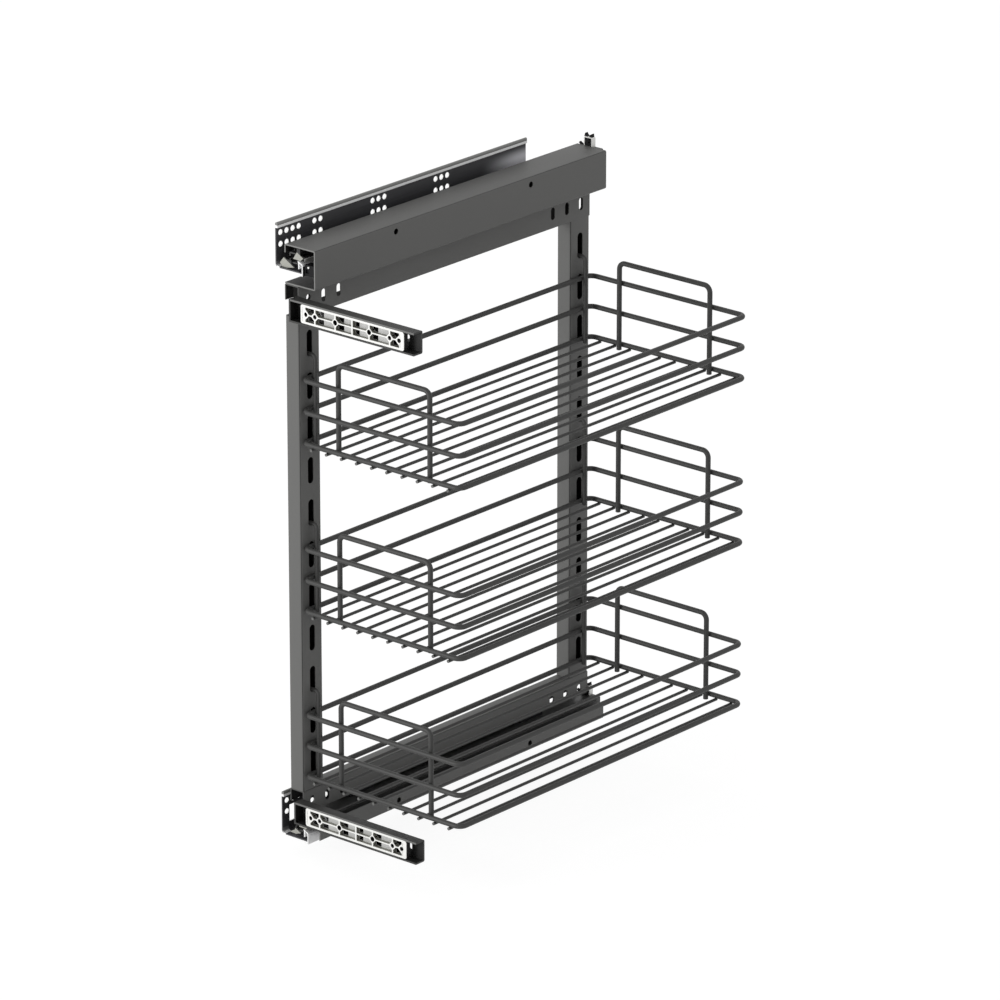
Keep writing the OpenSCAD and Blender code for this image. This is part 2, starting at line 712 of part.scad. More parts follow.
for (runner = [["upper_", upper_z], ["lower_", lower_z]]) {
    n = runner[0];
    z = runner[1];
    color(steel) cabinet_profile(z, n == "lower_");
    color(zinc) guide_strip(z);
    color(steel) middle_profile(z);
    color(zinc) middle_stop(z, n == "lower_");
    color(black) cage(z + inner_roller_z, inner_cage_y);
    color(zinc) roller_set(z + inner_roller_z, inner_cage_y);
    color(black) cage(z + outer_roller_z, outer_cage_y);
    color(zinc) roller_set(z + outer_roller_z, outer_cage_y);
    color(steel) drawer_profile(z);
    color(zinc) drawer_stop(z);
    color(zinc) rear_bracket(z);
    color(black) rear_hook(z);
}

color(black) damper_housing(upper_z);  // upper_damper_housing
color(steel) damper(upper_z);  // upper_damper
color(zinc) damper_pin(upper_z);  // upper_damper_pin
cover_beam();
upper_rail();
post_tongues();
front_post();
back_post();
lower_rail();
rail_saddles();
lower_cover();
door_bracket(upper_bracket_z);  // upper_door_bracket
door_bracket(lower_bracket_z);  // lower_door_bracket
bracket_angles();
bracket_screws();
door_plate(upper_bracket_z);  // upper_door_plate
door_plate(lower_bracket_z);  // lower_door_plate
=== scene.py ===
# %% [markdown]
# # A pull out larder unit
#
# The object is the metal fitting that turns a narrow kitchen cabinet into a pull out larder.
# Two roller runners are screwed to the left cabinet wall, a slotted frame hangs on them, and
# wire baskets hook into the frame's posts. Brackets at the front carry the cabinet's door.
# The CAD model gives every solid its place and its motion. This file gives it its looks:
# rounded sheet edges, smooth bent wire, weld beads and finishes.

# %% The CAD model
import json
import math

import bmesh
import bpy
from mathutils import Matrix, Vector

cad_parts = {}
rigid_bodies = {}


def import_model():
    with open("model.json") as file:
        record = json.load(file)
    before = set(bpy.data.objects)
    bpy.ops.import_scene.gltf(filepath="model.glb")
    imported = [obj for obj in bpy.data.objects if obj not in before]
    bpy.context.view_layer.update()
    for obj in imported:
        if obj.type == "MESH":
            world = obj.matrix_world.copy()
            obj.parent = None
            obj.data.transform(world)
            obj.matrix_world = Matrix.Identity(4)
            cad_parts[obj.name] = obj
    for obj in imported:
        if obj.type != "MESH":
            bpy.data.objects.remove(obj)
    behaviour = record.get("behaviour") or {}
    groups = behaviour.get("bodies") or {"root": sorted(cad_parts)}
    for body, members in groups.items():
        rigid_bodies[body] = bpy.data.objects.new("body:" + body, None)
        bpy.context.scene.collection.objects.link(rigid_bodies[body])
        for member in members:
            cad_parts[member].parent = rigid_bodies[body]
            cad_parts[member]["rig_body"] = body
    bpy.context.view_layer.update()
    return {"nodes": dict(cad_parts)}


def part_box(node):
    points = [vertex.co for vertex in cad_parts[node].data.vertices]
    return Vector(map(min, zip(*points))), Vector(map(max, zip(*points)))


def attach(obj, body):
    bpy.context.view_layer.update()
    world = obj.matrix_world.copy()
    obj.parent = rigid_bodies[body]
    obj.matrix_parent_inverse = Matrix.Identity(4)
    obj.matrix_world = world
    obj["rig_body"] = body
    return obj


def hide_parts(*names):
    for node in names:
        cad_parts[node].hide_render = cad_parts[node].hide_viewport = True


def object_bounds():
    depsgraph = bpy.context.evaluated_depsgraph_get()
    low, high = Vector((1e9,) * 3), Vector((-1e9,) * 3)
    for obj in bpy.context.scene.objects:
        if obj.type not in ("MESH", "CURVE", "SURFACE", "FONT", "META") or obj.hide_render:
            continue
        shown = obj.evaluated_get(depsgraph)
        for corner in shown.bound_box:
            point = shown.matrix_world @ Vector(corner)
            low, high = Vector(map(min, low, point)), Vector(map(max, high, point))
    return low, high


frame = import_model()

MM = 0.001

# %% [markdown]
# ## Camera
#
# The photograph is taken from the right and a little above, with a long lens, so that lines
# into the depth stay almost parallel. The camera could be placed by hand and nudged, but it
# is easier to correct when it stands on a circle round the object's middle: an azimuth, an
# elevation, a distance and a lens say all of it.

# %% Camera
VIEW_AZIMUTH = math.radians(40.753)
VIEW_ELEVATION = math.radians(19.932)
VIEW_DISTANCE = 8.0
VIEW_MIDDLE = Vector((0.115, 0.210, 0.33756))
VIEW_LENS = 253.41


def new_object(name, data):
    """An object at the origin, linked to the scene."""
    made = bpy.data.objects.new(name, data)
    bpy.context.scene.collection.objects.link(made)
    return made


def look_along(thing, direction):
    """Turns a camera or a lamp so that it looks against a direction."""
    thing.rotation_euler = direction.to_track_quat("Z", "Y").to_euler()


camera_data = bpy.data.cameras.new("camera")
camera_data.lens = VIEW_LENS
camera_data.sensor_width = 36.0
camera_data.clip_end = 60.0
camera = new_object("camera", camera_data)
towards = Vector((
    math.sin(VIEW_AZIMUTH) * math.cos(VIEW_ELEVATION),
    -math.cos(VIEW_AZIMUTH) * math.cos(VIEW_ELEVATION),
    math.sin(VIEW_ELEVATION),
))
camera.location = VIEW_MIDDLE + towards * VIEW_DISTANCE
look_along(camera, towards)
bpy.context.scene.camera = camera
print("camera at", [round(c, 2) for c in camera.location])

# %% [markdown]
# ## Shader maths
#
# A finish is a small graph of nodes. Written out node by node it is long and hard to read,
# so one class wraps a socket and lets Python's own operators add the Math nodes, and one
# method makes any other node from its type, its settings and its inputs.


# %% Sockets that count
class Field:
    """A shader socket that takes part in sums like a number. On masks, * is and, | is or."""

    def __init__(self, finish, socket):
        self.finish = finish
        self.socket = socket

    def maths(self, operation, *values):
        return self.finish.node("ShaderNodeMath", {"operation": operation}, values)

    def __add__(self, other):
        return self.maths("ADD", self, other)

    def __sub__(self, other):
        return self.maths("SUBTRACT", self, other)

    def __rsub__(self, other):
        return self.maths("SUBTRACT", other, self)

    def __mul__(self, other):
        return self.maths("MULTIPLY", self, other)

    def __or__(self, other):
        return self.maths("MAXIMUM", self, other)

    def __gt__(self, other):
        return self.maths("GREATER_THAN", self, other)

    def __lt__(self, other):
        return self.maths("LESS_THAN", self, other)

    def __abs__(self):
        return self.maths("ABSOLUTE", self)

    __radd__ = __add__
    __rmul__ = __mul__
    __ror__ = __or__


# %% [markdown]
# The graph belongs to a material, or to the world that surrounds the object. The class below
# keeps it while it grows. Every place on the object is read in the object's own frame, in
# metres, so a mask is a box with the same sizes as the part itself.


# %% A graph in the making
class Finish:
    """The node graph of a material or of the world."""

    def __init__(self, owner):
        owner.use_nodes = True
        self.owner = owner
        self.tree = owner.node_tree
        self.tree.nodes.clear()

    def node(self, kind, settings=None, values=(), out=0):
        """Adds a node: settings first, then its inputs, as a list or by their names."""
        made = self.tree.nodes.new(kind)
        for key, value in (settings or {}).items():
            setattr(made, key, value)
        named = values.items() if isinstance(values, dict) else enumerate(values)
        for key, value in named:
            if isinstance(value, Field):
                self.tree.links.new(value.socket, made.inputs[key])
            else:
                made.inputs[key].default_value = value
        return Field(self, made.outputs[out])

    def place(self):
        """The point of the surface in metres, in the object's own frame."""
        return self.node("ShaderNodeTexCoord", out="Object")

    def axis(self, name):
        return self.node("ShaderNodeSeparateXYZ", None, [self.place()], name)

    def noise(self, scale, detail=2.0, stretch=(1, 1, 1)):
        """Noise with a number of lumps for each metre, stretched where a tool drew it out."""
        place = self.node("ShaderNodeMapping", None, {"Vector": self.place(), "Scale": stretch})
        named = {"Vector": place, "Scale": scale, "Detail": detail}
        return self.node("ShaderNodeTexNoise", None, named)

    def blend(self, mask, first, second):
        """One colour turning into another one. Each is a field or three numbers."""
        ends = [c if isinstance(c, Field) else (*c, 1) for c in (first, second)]
        named = {"Factor": mask, "A": ends[0], "B": ends[1]}
        return self.node("ShaderNodeMix", {"data_type": "RGBA"}, named, "Result")

    def within(self, low, high):
        """1 inside a box in metres. A side that is None is open."""
        tests = [self.axis(name) > least for name, least in zip("XYZ", low) if least is not None]
        tests += [self.axis(name) < most for name, most in zip("XYZ", high) if most is not None]
        return math.prod(tests[1:], start=tests[0])

    def ramp(self, name, start, end):
        """0 before a place on an axis, 1 beyond another one, and a slope between them."""
        named = {"Value": self.axis(name), "From Min": start, "From Max": end}
        return self.node("ShaderNodeMapRange", {"interpolation_type": "SMOOTHSTEP"}, named)

    def bump(self, height, depth, strength):
        named = {"Height": height, "Distance": depth, "Strength": strength}
        return self.node("ShaderNodeBump", None, named)

    def end(self, shader, kind="ShaderNodeOutputMaterial"):
        """Joins the last shader to the graph's output."""
        output = self.tree.nodes.new(kind)
        self.tree.links.new(shader.socket, output.inputs["Surface"])
        return self.owner

    def done(self, **inputs):
        """Feeds the Principled shader and ends the graph."""
        named = {key.replace("_", " "): value for key, value in inputs.items()}
        return self.end(self.node("ShaderNodeBsdfPrincipled", None, named))


def new_finish(name):
    return Finish(bpy.data.materials.new(name))


def grey(value, warm=0.97):
    """A grey. Its blue share is a little lower, or higher where warm is above 1."""
    return (value, value, value * warm)


# %% [markdown]
# ## Powder coat
#
# Frame and baskets are coated with graphite powder. Baked powder flows into a skin with a
# faint orange peel, one or two lumps to the millimetre, and a satin gloss. The colour barely
# changes, but not at all would look like plastic film, so a slow and a fine noise move it.
#
# Light hardly reaches the inside of a channel or a tube, so it is darkened as painted shade.
# The cut front ends of the sheet take a painted highlight on most parts, painted shade on the rails.
# The inside could be painted by hand, face by face. A mask is simpler, because a sheet part
# fills its own box: what lies deeper than half a millimetre in the box is the inside.

# %% Graphite powder coat
GRAPHITE = 0.119
WIRE_GRAPHITE = 0.045
DEEP = 0.5 * MM
EDGE = 0.4 * MM
PEEL = 1400
CLOUDS = 14


def powder_coat(name, tone, low=None, high=None, inside=0.12, front=None, edge=1.0, gloss=0.35):
    """The coat. Painted shade darkens it in the box low to high. The box front is the cut edge at the
    front, where the tone times edge is a painted highlight above 1 and painted shade below 1.
    """
    coat = new_finish(name)
    slow = coat.noise(CLOUDS, 3)
    peel = coat.noise(PEEL, 2)
    colour = coat.blend(slow * 0.7 + peel * 0.3, grey(tone * 0.9), grey(tone * 1.1))
    if low:
        # Painted shade inside the box.
        colour = coat.blend(coat.within(low, high), colour, grey(tone * inside))
    if front:
        # The cut front edge: a painted highlight where edge is above 1, painted shade where it is below
        # 1.
        colour = coat.blend(coat.within(*front), colour, grey(tone * edge))
    return coat.done(
        Base_Color=colour,
        Specular_IOR_Level=gloss,
        Roughness=slow * 0.12 + 0.46,
        Normal=coat.bump(peel, 0.00012, 0.35),
    )


def sheet_coat(node, tone=GRAPHITE, open_sides="", inside=0.12, edge=1.7, skip=(-1, -1)):
    """The coat for one sheet part. open_sides names the sides of its box that have no sheet.
    Its cut front edge has the tone times edge, a painted highlight above 1 and painted shade below 1,
    but not in the skipped mm at its left and foot."""
    low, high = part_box(node)
    ends = [[low[i] + DEEP for i in range(3)], [high[i] - DEEP for i in range(3)]]
    for side in open_sides.split():
        ends["-+".index(side[0])]["xyz".index(side[1])] = None
    front = ((low.x + skip[0] * MM, None, low.z + skip[1] * MM), (None, low.y + EDGE, None))
    return powder_coat(f"graphite_{node}", tone, ends[0], ends[1], inside, front, edge)


wire_coat = powder_coat("graphite_wire", WIRE_GRAPHITE)
print("wire coat, nodes:", len(wire_coat.node_tree.nodes))

# %% [markdown]
# ## Rolled strip
#
# The runners are roll formed from strip. Rolling leaves long fine streaks along the strip.
# Streaks could be drawn as lines, but a noise that is stretched along Y gives them uneven
# lengths and strengths for nothing. The same streaks move the colour, the gloss and a very
# shallow bump, because on real steel they are one and the same mark.

# %% Rolled strip
ALONG_Y = (1, 0.02, 1)
STREAKS = 900


def rolled(finish, streak, colour, metal, rough, spread=0.15):
    """Ends a finish for rolled steel. The streaks move its gloss and its skin."""
    return finish.done(
        Base_Color=colour,
        Metallic=metal,
        Roughness=streak * spread + rough,
        Normal=finish.bump(streak, 0.00005, 0.4),
    )


def rolled_strip(name, dark, light, metal, rough):
    """Strip without marks of its own: streaks and a slow cloud between two greys."""
    strip = new_finish(name)
    streak = strip.noise(STREAKS, 3, ALONG_Y)
    cloud = strip.noise(30, 3)
    return rolled(strip, streak, strip.blend(streak * 0.6 + cloud * 0.4, dark, light), metal, rough)


drawn_steel = rolled_strip("drawn_steel", grey(0.03), grey(0.06), 0.3, 0.32)
zinc = rolled_strip("bright_zinc", grey(0.72), grey(0.88), 0.25, 0.26)
cut_wire = rolled_strip("cut_wire", grey(0.09), grey(0.16), 0.3, 0.4)
print("strips:", [m.name for m in (drawn_steel, zinc, cut_wire)])

# %% [markdown]
# ## Wall profiles
#
# The wall profile is the strip that is screwed to the cabinet. It is dark passivated, its
# rolled lip on top is polished by the rolls, and the walls of its punched holes are bare.
# Towards its back the baskets' side is lightened low down by a painted reflection, and so is
# the bend into the bottom flange at the front. Separate materials for these places would need
# extra edges in the sheet. Masks in millimetres from the profile's own box need none.

# %% Masks on a wall profile
LIP = 6.5 * MM
LOWER_LIP = 3.6 * MM
BEND_REFLECTION = (6 * MM, 10 * MM, 7 * MM)
BEND_SHINE = (1 * MM, 3.4 * MM)
BETWEEN_FACES = (0.2 * MM, 1.3 * MM)
FRONT_MARGIN = 0.6 * MM
BACK_MARGIN = 1 * MM
HOLE_MARGIN = 8 * MM
REFLECTION_LENGTH = 80 * MM
REFLECTION_DROP = (8 * MM, 22 * MM)
REFLECTION_SIDE = (0.7 * MM, 2.5 * MM)


def bend_mask(strip, low):
    """The bend into the bottom flange, at the front, where a painted reflection lies."""
    corner = (BEND_REFLECTION[0], low.y + BEND_REFLECTION[1], low.z + BEND_REFLECTION[2])
    return strip.within((None, None, None), corner) * strip.ramp("X", *BEND_SHINE)


def hole_mask(strip, low, high):
    """Between the sheet's two faces, where only the walls of its holes show."""
    least = (BETWEEN_FACES[0], low.y + FRONT_MARGIN, low.z + HOLE_MARGIN)
    most = (BETWEEN_FACES[1], high.y - BACK_MARGIN, high.z - HOLE_MARGIN)
    return strip.within(least, most)


def reflection_mask(strip, high):
    """A painted reflection on the side that the baskets pass. It grows towards the back and downwards.
    """
    backwards = strip.ramp("Y", high.y - REFLECTION_LENGTH, high.y)
    downwards = strip.ramp("Z", high.z - REFLECTION_DROP[0], high.z - REFLECTION_DROP[1])
    side = strip.within((REFLECTION_SIDE[0], None, None), (REFLECTION_SIDE[1], None, None))
    return backwards * downwards * side


# %% Wall profiles
def wall_strip(name, node):
    """The wall profile: dark below, polished on the rolled lip, bare where its holes are cut."""
    strip = new_finish(name)
    low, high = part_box(node)
    streak = strip.noise(700, 3, ALONG_Y)
    lip = strip.within((None, None, high.z - LIP), (None, None, None))
    lower_lip = strip.within((None, None, high.z - LIP), (None, None, high.z - LOWER_LIP))
    colour = strip.blend(streak, grey(0.038, 1.08), grey(0.075, 1.08))
    # Painted reflection, low down towards the back.
    colour = strip.blend(reflection_mask(strip, high), colour, grey(0.85, 1.05))
    colour = strip.blend(lip, colour, grey(0.21))
    # Painted reflection in the bend; the lip's lower band shares its near white.
    colour = strip.blend(lower_lip | bend_mask(strip, low), colour, grey(0.95, 1.0))
    colour = strip.blend(hole_mask(strip, low, high), colour, grey(0.95))
    return rolled(strip, streak, colour, 0.08, 0.28, 0.12)


upper_wall = wall_strip("galvanised_steel_upper", "upper_cabinet_profile")
lower_wall = wall_strip("galvanised_steel_lower", "lower_cabinet_profile")
print("wall profiles, nodes each:", len(upper_wall.node_tree.nodes))

# %% [markdown]
# ## Guide strips
#
# A guide strip is a bright zinc fold round the edge of the wall profile's flange. Rollers
# leave it almost white. The upper one stands inside the beam, where its outer side lies in
# shade below the top edge. That shade is painted black in a mask: painted shade, which stays
# where it is when the light or the view changes.

# %% Guide strips
BRIGHT_EDGE = 5.5 * MM
SKIN = 0.5 * MM


def strip_zinc(name, node, in_shade):
    """Bright zinc. A strip in shade is painted black on its outer side below its bright top edge:
    painted shade.
    """
    strip = new_finish(name)
    low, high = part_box(node)
    streak = strip.noise(STREAKS, 3, ALONG_Y)
    cloud = strip.noise(30, 3)
    colour = strip.blend(streak * 0.6 + cloud * 0.4, grey(0.86, 1.0), grey(0.96, 1.0))
    if in_shade:
        # Painted shade: the outer side below the top edge is black.
        black = strip.within(
            (high.x - SKIN, low.y + SKIN, None),
            (None, None, high.z - BRIGHT_EDGE),
        )
        colour = strip.blend(black, colour, grey(0.03))
    return rolled(strip, streak, colour, 0.05, 0.26)


# The upper strip's outer side gets painted shade.
upper_strip = strip_zinc("upper_strip", "upper_guide_strip", True)
lower_strip = strip_zinc("lower_strip", "lower_guide_strip", False)
print("guide strips, nodes:", len(upper_strip.node_tree.nodes), len(lower_strip.node_tree.nodes))

# %% [markdown]
# ## The middle profile's track
#
# The middle profile rolls between wall profile and drawer profile. Its outer side is rubbed
# grey up to a bright line, and it is dark above that line. The marks could be painted on an
# image, but two boxes are enough: one for the rubbed band, one for the line at its top.

# %% The rubbed track
RUBBED_FROM = 1.4 * MM
RUBBED_TO = 9.0 * MM
BRIGHT_LINE = 1.1 * MM
TRACK_SKIN = 0.3 * MM


def track_steel(name, node):
    """The middle profile: its outer side is rubbed grey up to a bright line and dark above it."""
    metal = new_finish(name)
    streak = metal.noise(STREAKS, 3, ALONG_Y)
    low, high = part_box(node)
    side = high.x - TRACK_SKIN
    top = low.z + RUBBED_TO
    rubbed = metal.within((side, None, low.z + RUBBED_FROM), (None, None, top))
    line = metal.within((side, None, top - BRIGHT_LINE), (None, None, top))
    colour = metal.blend(streak, grey(0.03), grey(0.06))
    colour = metal.blend(rubbed, colour, metal.blend(streak, grey(0.40, 0.95), grey(0.55, 0.95)))
    return rolled(metal, streak, metal.blend(line, colour, grey(0.97)), 0.2, 0.32)


upper_track = track_steel("upper_track", "upper_middle_profile")
print("track, nodes:", len(upper_track.node_tree.nodes))

# %% [markdown]
# ## Bent tabs
#
# Each profile ends in a tab that is bent across its front. The tab is dull zinc, but where it
# joins its profile it lies in shade, painted black as painted shade. The border runs slantwise
# over the tab, so a box can't mask it. A straight line can: the tab is painted black above its line.

# %% Bent tabs
TABS = {
    "upper_middle_stop": (5.3, 11.0, -0.56),
    "lower_middle_stop": (9.6, 6.3, -0.49),
    "upper_drawer_stop": (5.5, 9.1, -0.58),
    "lower_drawer_stop": (5.5, 9.1, -0.58),
}


def tab_steel(node, across, up, slope):
    """A bent tab. The line starts across and up, in mm from its corner, and has a slope."""
    tab = new_finish(node.replace("stop", "tab"))
    streak = tab.noise(STREAKS, 3, ALONG_Y)
    cloud = tab.noise(60, 3)
    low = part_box(node)[0]
    beyond = tab.axis("Z") - low.z - up * MM > (tab.axis("X") - low.x - across * MM) * slope
    colour = tab.blend(streak * 0.5 + cloud * 0.5, grey(0.26, 0.9), grey(0.42, 0.9))
    # Painted shade: black above the line, where the tab joins its profile.
    return rolled(tab, streak, tab.blend(beyond, colour, grey(0.02)), 0.2, 0.34)


tabs = {node: tab_steel(node, *line) for node, line in TABS.items()}
print("bent tabs:", len(tabs))

# %% [markdown]
# ## Castings
#
# A door plate is a zinc pressure casting. Its flat front is tumbled bright. The pockets keep
# the duller skin of the mould, and painted shade makes their walls darker than their floors. The
# screw holes and the right end are painted black as painted shade. The plate's mesh already has
# these forms, so they need no bump or image: the finish asks how deep a point lies behind the
# front, and whether it lies in a screw hole.

# %% Castings
POLISHED = 0.7 * MM
POCKET = 4.6 * MM
END_WALL = 1 * MM
DARK_END = 0.4 * MM
BORES = (25 * MM, 55 * MM, 68.6 * MM)
BORE_REACH = 3.2 * MM


def casting(name, node):
    """A door plate: its front is bright, its pockets are dull with painted shade on their walls, and
    its screw holes and right end are painted black as painted shade.
    """
    metal = new_finish(name)
    sand = metal.noise(2200, 2)
    cloud = metal.noise(60, 2)
    low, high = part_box(node)
    middle = (low + high) / 2
    front = metal.axis("Y") < low.y + POLISHED
    floor = metal.within((low.x + END_WALL, low.y + POCKET, None), (high.x - END_WALL, None, None))
    # The pockets: the mould's dull skin, with painted shade keeping their walls darker than their
    # floors.
    colour = metal.blend(cloud, grey(0.13, 0.85), grey(0.32, 0.85))
    colour = metal.blend(floor, colour, metal.blend(cloud, grey(0.44, 0.98), grey(0.60, 0.98)))
    # Painted shade: the right end is black.
    colour = metal.blend(metal.axis("X") > high.x - DARK_END, colour, grey(0.02))
    from_middle = abs(metal.axis("X") - middle.x)
    level = abs(metal.axis("Z") - middle.z) < BORE_REACH
    # Painted shade: the screw holes are black.
    for place in BORES:
        colour = metal.blend((abs(from_middle - place) < BORE_REACH) * level, colour, grey(0.01))
    return metal.done(
        Base_Color=metal.blend(front, colour, metal.blend(cloud, grey(0.80), grey(0.90))),
        Metallic=0.1,
        Roughness=sand * 0.15 + 0.35,
        Normal=metal.bump(sand, 0.0001, 0.35),
    )


upper_casting = casting("cast_zinc_upper", "upper_door_plate")
lower_casting = casting("cast_zinc_lower", "lower_door_plate")
print("castings, nodes each:", len(upper_casting.node_tree.nodes))

# %% [markdown]
# ## Turned steel and moulded plastic
#
# Rollers, the damper and the screws are plain steel, with fine marks from turning, so their
# noise is stretched along X. Cages, saddles, hooks and the damper's housing are moulded in
# black plastic with a fine grain and little gloss. One flat colour for each would do in the
# photograph's view, but the runners open when the unit is pulled out, and then it would show.


# %% Steel and plastic
def turned_steel(name):
    metal = new_finish(name)
    turning = metal.noise(2500, 2, (0.05, 1, 1))
    return metal.done(
        Base_Color=metal.blend(turning, (0.42, 0.42, 0.43), (0.62, 0.62, 0.62)),
        Metallic=0.85,
        Roughness=turning * 0.2 + 0.22,
        Normal=metal.bump(turning, 0.00004, 0.4),
    )


def moulded_plastic(name):
    moulding = new_finish(name)
    grain = moulding.noise(1800, 2)
    cloud = moulding.noise(40, 2)
    return moulding.done(
        Base_Color=moulding.blend(cloud, (0.006, 0.006, 0.007), (0.014, 0.014, 0.015)),
        Specular_IOR_Level=0.12,
        Roughness=grain * 0.15 + 0.5,
        Normal=moulding.bump(grain, 0.00008, 0.4),
    )


steel = turned_steel("plain_steel")
plastic = moulded_plastic("black_plastic")
print("finishes so far:", len(bpy.data.materials))

# %% [markdown]
# ## Sheet metal with rounded edges
#
# A cut sheet edge is never sharp: it is broken to a few tenths of a millimetre and catches a
# thin line of light. A rounding shader would show that line too, but not in the mesh. So
# each sheet part gets a copy whose edges are bevelled. The CAD solids come as loose
# triangles: the copy is merged, and its flat faces are joined before the bevel. The bevel
# hardens its normals. Without that, smooth shading draws streaks over the flat faces.
#
# The lower wall profile keeps its triangles. Its big face has a row of holes and a window,
# and joined to a single face it would be filled across the window.

# %% A rounded copy of a CAD node
FLAT = math.radians(0.5)
SHARP = math.radians(32)
MERGED = 0.002 * MM
BROKEN_EDGE = 0.3 * MM


def plain_mesh(piece):
    """Turns a piece's modifiers into its own plain mesh."""
    shown = piece.evaluated_get(bpy.context.evaluated_depsgraph_get())
    mesh = bpy.data.meshes.new_from_object(shown)
    piece.modifiers.clear()
    piece.data = mesh
    return piece


def merged_mesh(node, joined):
    """A copy of a CAD mesh in one skin, with its flat faces joined where that is asked for."""
    shape = bmesh.new()
    shape.from_mesh(frame["nodes"][node].data)
    bmesh.ops.remove_doubles(shape, verts=shape.verts, dist=MERGED)
    if joined:
        bmesh.ops.dissolve_limit(
            shape, angle_limit=FLAT, verts=shape.verts, edges=shape.edges, delimit={"NORMAL"}
        )
    mesh = bpy.data.meshes.new(node + "_sheet")
    shape.to_mesh(mesh)
    shape.free()
    for name in ("custom_normal", "sharp_face", "sharp_edge"):
        if name in mesh.attributes:
            mesh.attributes.remove(mesh.attributes[name])
    mesh.shade_smooth()
    return mesh


def rounded(node, material, joined=True):
    """A copy of a CAD node with broken edges. It stands for the node and moves with it."""
    piece = new_object(node + "_sheet", merged_mesh(node, joined))
    bevel = piece.modifiers.new("broken edges", "BEVEL")
    bevel.width = BROKEN_EDGE
    bevel.segments = 2
    bevel.limit_method = "ANGLE"
    bevel.angle_limit = SHARP
    bevel.miter_outer = "MITER_ARC"
    bevel.harden_normals = True
    plain_mesh(piece)
    piece.data.materials.clear()
    piece.data.materials.append(material)
    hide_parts(node)
    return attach(piece, frame["nodes"][node]["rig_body"])


# %% [markdown]
# The brackets are darker than the frame, with a painted highlight on their cut edges, so they
# share their settings. Hidden angles and tongues are darker still, as painted shade, and the
# rails' front ends get painted shade too. One coat for all would be shorter, but every part has
# its own box. Each open side of a channel or a tube is named, because the mask of the inside's
# painted shade has to reach through it.

# %% Sheet parts
BRACKET = 0.036
# Brackets: a painted highlight on the cut front edge and painted shade inside.
BRACKET_SHEET = {"tone": BRACKET, "inside": 0.25, "edge": 4, "skip": (2, 5)}
COATS = {
    "cover_beam": sheet_coat("cover_beam", open_sides="-x"),
    # The rails' front ends: painted shade.
    "upper_rail": sheet_coat("upper_rail", open_sides="-z", edge=0.55),
    "lower_rail": sheet_coat("lower_rail", open_sides="-z", edge=0.55),
    "lower_cover": sheet_coat("lower_cover", open_sides="+z", inside=0.4),
    "front_post": sheet_coat("front_post", open_sides="-z +z", edge=1.0),
    "back_post": sheet_coat("back_post", open_sides="-z +z", edge=1.0),
    "upper_door_bracket": sheet_coat("upper_door_bracket", **BRACKET_SHEET),
    "lower_door_bracket": sheet_coat("lower_door_bracket", **BRACKET_SHEET),
    # Angles and tongues lie in shade: their dark coats are painted shade.
    "bracket_angles": powder_coat("graphite_angles", BRACKET * 0.5),
    "post_tongues": powder_coat("graphite_tongues", BRACKET * 0.25, gloss=0.05),
}
for name, coat in COATS.items():
    rounded(name, coat)
rounded("upper_guide_strip", upper_strip)
rounded("lower_guide_strip", lower_strip)
rounded("upper_cabinet_profile", upper_wall)
rounded("lower_cabinet_profile", lower_wall, joined=False)

# %% [markdown]
# ## Bent wire
#
# A basket is bent wire, welded where the wires cross. Each wire is a path with a few
# corners, so a Geometry Nodes tree does the rest: it rounds the corners by the radius that
# each corner carries, sweeps a circle along the path and closes the ends. Faces that look
# straight at the front can carry another finish: the floor wires are cut after coating,
# so their front ends are bare.

# %% Helpers for geometry trees
def geometry_tree(name):
    """A tree that takes a mesh and gives one back."""
    tree = bpy.data.node_groups.new(name, "GeometryNodeTree")
    for side in ("INPUT", "OUTPUT"):
        tree.interface.new_socket("Geometry", in_out=side, socket_type="NodeSocketGeometry")
    return tree


def interface(tree, name, kind, value=None):
    """Adds a named input to a tree and gives its identifier."""
    socket = tree.interface.new_socket(name, in_out="INPUT", socket_type=kind)
    if value is not None:
        socket.default_value = value
    return socket.identifier


def add(tree, kind, inputs=None, **settings):
    """Adds a node to a geometry tree and links or sets its inputs."""
    made = tree.nodes.new(kind)
    for key, value in settings.items():
        setattr(made, key, value)
    for key, value in (inputs or {}).items():
        if isinstance(value, bpy.types.NodeSocket):
            tree.links.new(value, made.inputs[key])
        else:
            made.inputs[key].default_value = value
    return made


# %% The bent wire tree
STRAIGHT_AT_FRONT = -0.95

wire_tree = geometry_tree("Bent wire")
WIRE_D = interface(wire_tree, "Wire diameter", "NodeSocketFloat", 6 * MM)
interface(wire_tree, "Steps in a bend", "NodeSocketInt", 8)
interface(wire_tree, "Sides of the wire", "NodeSocketInt", 18)
WIRE_FINISH = interface(wire_tree, "Finish", "NodeSocketMaterial")
END_FINISH = interface(wire_tree, "Finish of the ends", "NodeSocketMaterial")

given = add(wire_tree, "NodeGroupInput")
path = add(wire_tree, "GeometryNodeMeshToCurve", {"Mesh": given.outputs["Geometry"]})
bend_at = add(wire_tree, "GeometryNodeInputNamedAttribute", {"Name": "bend"}, data_type="FLOAT")
bent = add(
    wire_tree, "GeometryNodeFilletCurve",
    {"Curve": path.outputs[0], "Radius": bend_at.outputs[0], "Count": given.outputs["Steps in a bend"]},
    mode="POLY",
)
half = {0: given.outputs["Wire diameter"], 1: 0.5}
radius = add(wire_tree, "ShaderNodeMath", half, operation="MULTIPLY")
ring = add(
    wire_tree, "GeometryNodeCurvePrimitiveCircle",
    {"Resolution": given.outputs["Sides of the wire"], "Radius": radius.outputs[0]},
)
swept = add(
    wire_tree, "GeometryNodeCurveToMesh",
    {"Curve": bent.outputs[0], "Profile Curve": ring.outputs[0], "Fill Caps": True},
)
whole = add(wire_tree, "GeometryNodeRealizeInstances", {"Geometry": swept.outputs[0]})
